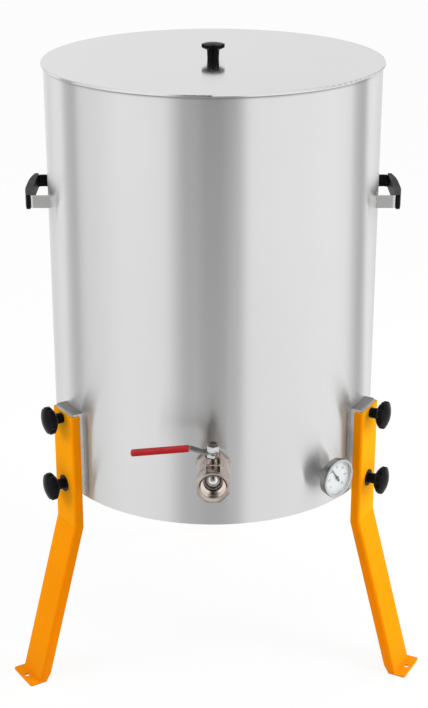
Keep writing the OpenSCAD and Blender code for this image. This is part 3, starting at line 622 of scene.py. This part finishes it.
knob_plastic, leg_knob_plastic = (
    plastic(name, knob_black, 0.28, skin(1800.0, 60.0), 0.10, sockets={"IOR": 1.14})
    for name in ("knob_plastic", "leg_knob_plastic")
)
grip_plastic = plastic(
    "grip_plastic", (0.005, 0.005, 0.006), 0.45, skin(2600.0, 50.0), 0.25, sockets={"IOR": 1.2}
)
sleeve_vinyl = plastic(
    "sleeve_vinyl", (0.42, 0.011, 0.014), 0.38, skin(500.0, 40.0), 0.10, 0.3 * MM, 0.86, {"IOR": 1.25}
)
seal_white = plastic("seal_white", (0.78, 0.78, 0.75), 0.45, skin(1500.0, 80.0), 0.05, pale=0.95)
seal_red = plastic("seal_red", (0.17, 0.015, 0.010), 0.60, skin(1500.0, 90.0), 0.15, pale=1.3)
fade_in_mirrors(sleeve_vinyl, 0.8)
fade_in_mirrors(leg_knob_plastic, 0.6)
coat(knob_plastic, "lid_knob")
coat(leg_knob_plastic, "leg_knob_*", "knob_washer_*")
coat(grip_plastic, "handle_grip_*")
coat(sleeve_vinyl, "lever_sleeve")
coat(seal_white, "valve_seats", "valve_cap_seal", "stem_packing")
coat(seal_red, "thermometer_seal")

# %% [markdown]
# ## Valve body
#
# The body and its end cap are forged brass with a thin nickel plate, which looks warmer than steel and is
# slightly pebbled where it wasn't machined. Deep in the bore a painted shade darkens the plate. That shade
# could be a second material on some faces, but a mask by place does it without touching the solid's mesh.

# %% Valve nickel
nickel_warm = (0.56, 0.485, 0.43)
nickel_dark = (0.37, 0.31, 0.275)
bore_shade_colour = (0.10, 0.075, 0.065)
bore_edge = (14.8 * MM, 15.2 * MM)
bore_start = (8 * MM, 9 * MM)
bore_shade_share = 0.92

valve_nickel, tree, shader = new_finish("valve_nickel", {"Metallic": 1.0})
made = place_group(tree, skin_grain, skin(260.0, 55.0))
tint = colour_mix(tree, spread(tree, made["Cloud"], 0, 1), shade(nickel_dark), shade(nickel_warm))
join(tree, tint, shader.inputs["Base Color"])
join(tree, spread(tree, made["Cloud"], 0.22, 0.15), shader.inputs["Roughness"])
bump(tree, shader, made["Grain"], 0.06, 0.3 * MM)

cap_low, cap_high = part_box("valve_end_cap")
bore_z = (cap_low.z + cap_high.z) / 2


def deep_in_bore(tree):
    """1 near the valve's axis, which runs along y, and behind the mouth."""
    xyz = split(tree, object_place(tree))
    rise = math_node(tree, "SUBTRACT", xyz["Z"], bore_z)
    squares = [math_node(tree, "MULTIPLY", part, part) for part in (rise, xyz["X"])]
    reach = math_node(tree, "SQRT", math_node(tree, "ADD", *squares))
    inside = map_range(tree, reach, bore_edge, (1.0, 0.0))
    deep = map_range(tree, xyz["Y"], [cap_low.y + start for start in bore_start], (0.0, bore_shade_share))
    return math_node(tree, "MULTIPLY", inside, deep)


# Painted shade: deep in the bore the plate is darkened.
lay_over(valve_nickel, shade(bore_shade_colour), deep_in_bore)
coat(valve_nickel, "valve_body", "valve_end_cap")

# %% [markdown]
# ## Thread and ball
#
# The thread in the valve's mouth was cut after forging, so its plate is bright. The ball is hard chrome with
# a mirror polish: a very low roughness, with faint clouds so that it doesn't look like a computer's sphere.

# %% Thread nickel and ball chrome
def polished(name, dark, bright, grain, smoothest, roughest):
    finish, tree, shader = new_finish(name, {"Metallic": 1.0})
    cloud = place_group(tree, skin_grain, grain)["Cloud"]
    join(tree, colour_mix(tree, cloud, shade(dark), shade(bright)), shader.inputs["Base Color"])
    join(tree, spread(tree, cloud, smoothest, roughest), shader.inputs["Roughness"])
    return finish


thread_nickel = polished(
    "thread_nickel", (0.70, 0.61, 0.53), (0.82, 0.73, 0.65), skin(900.0, 120.0), 0.12, 0.20
)
ball_chrome = polished("ball_chrome", (0.80, 0.80, 0.82), (0.88, 0.88, 0.89), skin(900.0, 80.0), 0.04, 0.08)
coat(ball_chrome, "valve_ball")

# %% [markdown]
# ## Thermometer
#
# A dial thermometer has a drawn steel case, a polished ring that holds a flat glass, and a white dial. The
# outer walls of case and ring carry a painted shade, and only what lies nearer the axis is bright, so their
# mask is the distance from the pointer's axis. The glass is nearly clear: its colour is a faint grey with a
# low alpha, and its gloss does the rest.

# %% Thermometer finishes
pointer_point = Vector(joints["pointer_turn"]["pos_m"])
pointer_axis = Vector(joints["pointer_turn"]["axis"]).normalized()
case_wall = (30.2 * MM, 30.8 * MM)
ring_wall = (32.2 * MM, 32.45 * MM)

case_steel = steel(
    "case_steel", (0.90, 0.90, 0.90), 0.30, sheet(2500.0, 300.0, 60.0), swing=0.06, dull=0.8
)
ring_steel = steel(
    "ring_steel", (0.62, 0.62, 0.62), 0.16, sheet(2500.0, 300.0, 60.0), swing=0.04, dull=0.92
)


def vector_node(tree, operation, first, second=None):
    made = add_node(tree, "VectorMath", {"operation": operation})
    join(tree, first, made.inputs[0])
    if second is not None:
        join(tree, second, made.inputs[1])
    return made.outputs


def outside(radii):
    """A mask for what lies further from the pointer's axis than these two radii."""
    def mask(tree):
        arm = vector_node(tree, "SUBTRACT", object_place(tree), pointer_point)["Vector"]
        around = vector_node(tree, "CROSS_PRODUCT", arm, pointer_axis)["Vector"]
        return map_range(tree, vector_node(tree, "LENGTH", around)["Value"], radii)

    return mask


# Painted shade: the outer walls of case and ring are darkened.
lay_over(case_steel, grey(0.36), outside(case_wall))
lay_over(ring_steel, grey(0.26), outside(ring_wall))
dial_white = plastic("dial_white", (0.74, 0.77, 0.77), 0.50, skin(2500.0, 60.0), 0.04, pale=0.97)
print_black = plastic("print_black", (0.030, 0.030, 0.032), 0.50, skin(2500.0, 200.0), 0.04)
dial_glass, tree, shader = new_finish("dial_glass", {"Base Color": (0.75, 0.80, 0.82, 1), "IOR": 1.5})
cloud = place_group(tree, skin_grain, skin(900.0, 45.0))["Cloud"]
join(tree, spread(tree, cloud, 0.02, 0.05), shader.inputs["Roughness"])
join(tree, spread(tree, cloud, 0.05, 0.09), shader.inputs["Alpha"])
coat(case_steel, "thermometer_case")
coat(ring_steel, "thermometer_bezel")
coat(dial_white, "thermometer_dial")
coat(print_black, "thermometer_pointer")
coat(dial_glass, "thermometer_glass")

# %% [markdown]
# ## Where the dial is
#
# The dial looks outwards from the drum at an angle, so drawing on it needs axes of its own. They come from
# the solids: the axis is that of the pointer's joint, and the front face that of the dial's own mesh. If the
# solids change, the print follows.

# %% Dial axes
print_lift = 0.06 * MM

up = Vector((0, 0, 1))
dial_out = -pointer_axis
dial_right = up.cross(dial_out)


def front_of(node, outward):
    """How far a node reaches along a direction from the origin."""
    return max(vertex.co.dot(outward) for vertex in nodes[node].data.vertices)


dial_ahead = front_of("thermometer_dial", dial_out) + print_lift - pointer_point.dot(dial_out)
dial_centre = pointer_point + dial_out * dial_ahead
dial_frame = Matrix((dial_right, up, dial_out)).transposed().to_4x4()
dial_frame.translation = dial_centre
print("dial centre", [round(value, 4) for value in dial_centre])

# %% [markdown]
# ## Marks on the dial
#
# The scale is printed: a mark every two degrees from 0 to 60, and longer ones at the tens. A texture could
# carry it, but small plates stay sharp at any distance. Print has no thickness to speak of, so each mark is a
# very thin plate that lies on the dial.

# %% Dial marks
scale_start = -135
scale_sweep = 270
scale_end_value = 60
scale_step = 2
mark_outer = 25.4 * MM
mark_inner = {True: 22.6 * MM, False: 23.9 * MM}
mark_width = {True: 0.55 * MM, False: 0.32 * MM}
print_depth = 0.04 * MM
plate_faces = ((0, 1, 2, 3), (4, 5, 6, 7), (0, 1, 5, 4), (1, 2, 6, 5), (2, 3, 7, 6), (3, 0, 4, 7))


def scale_angle(value):
    return radians(scale_start + scale_sweep * value / scale_end_value)


def on_dial(angle, radius, sideways=0.0, lift=0.0):
    """A point on the dial: angle clockwise from the top, as the reader sees it."""
    return Vector((
        radius * sin(angle) + sideways * cos(angle),
        radius * cos(angle) - sideways * sin(angle),
        lift,
    ))


def to_mesh(name, shape, smooth=False):
    for face in shape.faces:
        face.smooth = smooth
    mesh = bpy.data.meshes.new(name)
    shape.to_mesh(mesh)
    shape.free()
    return mesh


def new_piece(name, mesh, finish, body):
    made = bpy.data.objects.new(name, mesh)
    mesh.materials.clear()
    mesh.materials.append(finish)
    scene.collection.objects.link(made)
    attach(made, body)


marks = bmesh.new()
for value in range(0, scale_end_value + 1, scale_step):
    tens = value % 10 == 0
    inner = mark_inner[tens]
    half = mark_width[tens] / 2
    points = [
        marks.verts.new(on_dial(scale_angle(value), radius, sideways, lift))
        for lift in (0.0, print_depth)
        for radius, sideways in ((inner, -half), (inner, half), (mark_outer, half), (mark_outer, -half))
    ]
    for face in plate_faces:
        marks.faces.new([points[index] for index in face])
bmesh.ops.recalc_face_normals(marks, faces=marks.faces)
marks_mesh = to_mesh("dial_marks", marks)
marks_mesh.transform(dial_frame)
new_piece("dial_marks", marks_mesh, print_black, "tank")
print("dial marks:", scale_end_value // scale_step + 1)

# %% [markdown]
# ## Figures on the dial
#
# The tens are printed in figures. Blender's text objects draw them, and each is turned into a mesh, so that
# it can ride on the tank as any other piece does.

# %% Dial figures
figure_ring = 18.6 * MM
figure_height = 5.2 * MM

for value in range(0, scale_end_value + 1, 10):
    figure = bpy.data.curves.new("figure", "FONT")
    figure.body = str(value)
    figure.size = figure_height
    figure.align_x = "CENTER"
    figure.align_y = "CENTER"
    figure.extrude = print_depth / 2
    draft = bpy.data.objects.new("figure_draft", figure)
    scene.collection.objects.link(draft)
    bpy.context.view_layer.update()
    shape = bpy.data.meshes.new_from_object(draft.evaluated_get(bpy.context.evaluated_depsgraph_get()))
    bpy.data.objects.remove(draft)
    figure_place = on_dial(scale_angle(value), figure_ring, 0, print_depth / 2)
    shape.transform(dial_frame @ Matrix.Translation(figure_place))
    new_piece("dial_figure_%02d" % value, shape, print_black, "tank")
print("dial figures:", scale_end_value // 10 + 1)

# %% [markdown]
# ## Thread in the outlet
#
# The mouth of the valve has a pipe thread. The solid has a plain bore there, so the ridge of the thread is
# swept along a helix that lies on the bore's wall. It starts ahead of the cone that the drill has left
# between the thread and the narrower bore behind it. A bump texture would be less work, but the thread is in
# full view, and real flanks catch the light.

# %% Outlet thread
outlet = mounts["valve_outlet"]
thread_r = outlet["dims"]["r_mm"] * MM
thread_length = outlet["dims"]["length_mm"] * MM
thread_out = Vector(outlet["axis"])
thread_across = up.cross(thread_out)
thread_middle = Vector(outlet["pos_m"])
thread_pitch = 2.309 * MM
thread_height = 0.7 * MM
thread_steps = 64
# The ridge's foot and crest: shares of the pitch along the axis, and the foot's depth below the wall
foot_back, crest_half, foot_front = -0.30, 0.06, 0.24
foot_depth = -0.1
cone_r = 14.9 * MM
cone_run = 2.6 * MM
cone_edge = 0.05 * MM
cone_back = -0.3 * MM


def in_bore(step, radius, run):
    """A point in the bore: step round its axis, distance from it, and way along it from the middle."""
    angle = 2 * pi * step / thread_steps
    return (
        thread_middle + thread_out * run
        + thread_across * (radius * cos(angle)) + up * (radius * sin(angle))
    )


def add_skin(mesh, rings, loop=False):
    """Adds a skin over rings of points. A loop goes back to its first ring, else the two ends are closed."""
    rows = [[mesh.verts.new(point) for point in ring] for ring in rings]
    for first, second in zip(rows, rows[1:] + rows[:1] if loop else rows[1:]):
        for index in range(len(first)):
            follow = (index + 1) % len(first)
            mesh.faces.new((first[index], first[follow], second[follow], second[index]))
    if not loop:
        mesh.faces.new(list(reversed(rows[0])))
        mesh.faces.new(rows[-1])
    bmesh.ops.recalc_face_normals(mesh, faces=mesh.faces)


turns = int((thread_length - cone_run) / thread_pitch)
last_step = turns * thread_steps
ridge = []
for step in range(last_step + 1):
    run = (cone_run - turns * thread_pitch) / 2 + thread_pitch * step / thread_steps
    crest = min(1.0, step / thread_steps, (last_step - step) / thread_steps)
    section = ((foot_back, foot_depth), (-crest_half, crest), (crest_half, crest), (foot_front, foot_depth))
    ridge.append([
        in_bore(step, thread_r - rise * thread_height, run + shift * thread_pitch) for shift, rise in section
    ])
cone_section = ((thread_r, cone_run), (cone_r, cone_edge), (cone_r, cone_back), (thread_r, cone_back))
cone = [
    [in_bore(step, radius, ahead - thread_length / 2) for step in range(thread_steps)]
    for radius, ahead in cone_section
]
thread = bmesh.new()
add_skin(thread, ridge)
add_skin(thread, cone, loop=True)
new_piece("outlet_thread", to_mesh("outlet_thread", thread), thread_nickel, "tank")
print("outlet thread:", turns, "turns of", round(1000 * thread_pitch, 2), "mm")

# %% [markdown]
# ## Weld beads
#
# The collar of the outlet, the thermometer's socket, the brackets and the handle straps are welded to the
# drum. A bead is a thin rope of metal with fine ripples across it, half sunk in the corner that it fills. A
# curve with a round bevel would be too even, so each bead is a skin over rings whose size goes up and down.

# %% Bead helpers
bead_sides = 8
bead_ripple = 0.10
bead_step = 1.5 * MM
bead_steel = steel(
    "bead_steel", (0.60, 0.585, 0.56), 0.30, sheet(900.0, 700.0, 160.0), swing=0.08, dull=0.78
)

shell_low, shell_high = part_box("tank_shell")
shell_middle = (shell_low.z + shell_high.z) / 2
shell_points = [vertex.co for vertex in nodes["tank_shell"].data.vertices]
drum_r = max(point.xy.length for point in shell_points if point.z < shell_middle)


def bead(name, points, radius, closed=False):
    """A rippled tube along points on the drum."""
    rings = []
    count = len(points)
    for index, point in enumerate(points):
        before = points[index - 1] if closed or index > 0 else point
        after = points[(index + 1) % count] if closed or index < count - 1 else point
        normal = Vector((point.x, point.y, 0)).normalized()
        side = (after - before).normalized().cross(normal).normalized()
        ripple = radius * (1 + bead_ripple * (index % 3 - 1))
        angles = [2 * pi * step / bead_sides for step in range(bead_sides)]
        rings.append([point + (normal * cos(angle) + side * sin(angle)) * ripple for angle in angles])
    made = bmesh.new()
    add_skin(made, rings, loop=closed)
    new_piece(name, to_mesh(name, made, smooth=True), bead_steel, "tank")


def drum_point(azimuth, z):
    return Vector((drum_r * sin(azimuth), -drum_r * cos(azimuth), z))


def ring_on_drum(azimuth, z, radius):
    """Points where a round boss of that radius meets the drum."""
    count = int(2 * pi * radius / bead_step)
    points = []
    for index in range(count):
        angle = 2 * pi * index / count
        across = radius * cos(angle)
        shift = atan2(across, sqrt(drum_r ** 2 - across ** 2))
        points.append(drum_point(azimuth + shift, z + radius * sin(angle)))
    return points


def upright_on_drum(azimuth, low, high, step=bead_step):
    count = int((high - low) / step)
    return [drum_point(azimuth, low + (high - low) * index / count) for index in range(count + 1)]


print("the drum's radius is", round(drum_r, 4))

# %% [markdown]
# ## Beads round the bosses
#
# The outlet's collar and the thermometer's socket are round, so their beads are closed rings that follow the
# drum's curve. Their sizes and places are read off the solids.

# %% Round beads
collar_bead_r = 1.3 * MM
boss_bead_r = 1.2 * MM

collar_low, collar_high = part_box("outlet_socket")
collar_r = (collar_high.x - collar_low.x) / 2
collar_z = (collar_high.z + collar_low.z) / 2
bead("collar_bead", ring_on_drum(0, collar_z, collar_r), collar_bead_r, closed=True)

boss_low, boss_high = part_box("thermometer_socket")
boss_r = (boss_high.z - boss_low.z) / 2
boss_azimuth = atan2(dial_out.x, -dial_out.y)
bead("thermometer_bead", ring_on_drum(boss_azimuth, dial_centre.z, boss_r), boss_bead_r, closed=True)
print("round beads of", round(1000 * collar_r, 1), "and", round(1000 * boss_r, 1), "mm radius")

# %% [markdown]
# ## Beads on brackets and straps, and the seam
#
# A bracket is only stitched: a short bead near the top and the bottom of each side. The handle straps are
# welded along both edges. The drum itself was rolled from one sheet and has one thin upright seam, at the
# back.

# %% Straight beads
bracket_bead_r = 1.0 * MM
strap_bead_r = 0.9 * MM
seam_bead_r = 0.5 * MM
bracket_half = 29.5 * MM
cheek_room = 3 * MM
lower_stitch = 20 * MM
upper_stitch = 25 * MM
end_room = 1 * MM
seam_azimuth = radians(150)
seam_top_room = 6 * MM

for side in ("left", "right", "rear"):
    low, high = (corner.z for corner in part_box("leg_bracket_" + side))
    leg_out = Vector(joints["knob_%s_upper_turn" % side]["axis"])
    leg_azimuth = atan2(leg_out.x, -leg_out.y)
    stitches = {
        "lower": (low + cheek_room, low + lower_stitch), "upper": (high - upper_stitch, high - cheek_room)
    }
    for edge, way_round in (("a", -1), ("b", 1)):
        for stitch, (start, end) in stitches.items():
            line = upright_on_drum(leg_azimuth + way_round * bracket_half / drum_r, start, end)
            bead("bracket_bead_%s_%s_%s" % (side, edge, stitch), line, bracket_bead_r)

strap_low, strap_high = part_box("handle_strap_right")
for side, strap_azimuth in (("left", -pi / 2), ("right", pi / 2)):
    for edge, way_round in (("a", -1), ("b", 1)):
        azimuth = strap_azimuth + way_round * strap_high.y / drum_r
        line = upright_on_drum(azimuth, strap_low.z + end_room, strap_high.z - end_room)
        bead("strap_bead_%s_%s" % (side, edge), line, strap_bead_r)

seam_ends = (shell_low.z + end_room, shell_high.z - seam_top_room)
seam = upright_on_drum(seam_azimuth, *seam_ends, 2 * bead_step)
bead("drum_seam", seam, seam_bead_r)
print("straight beads and the seam done")
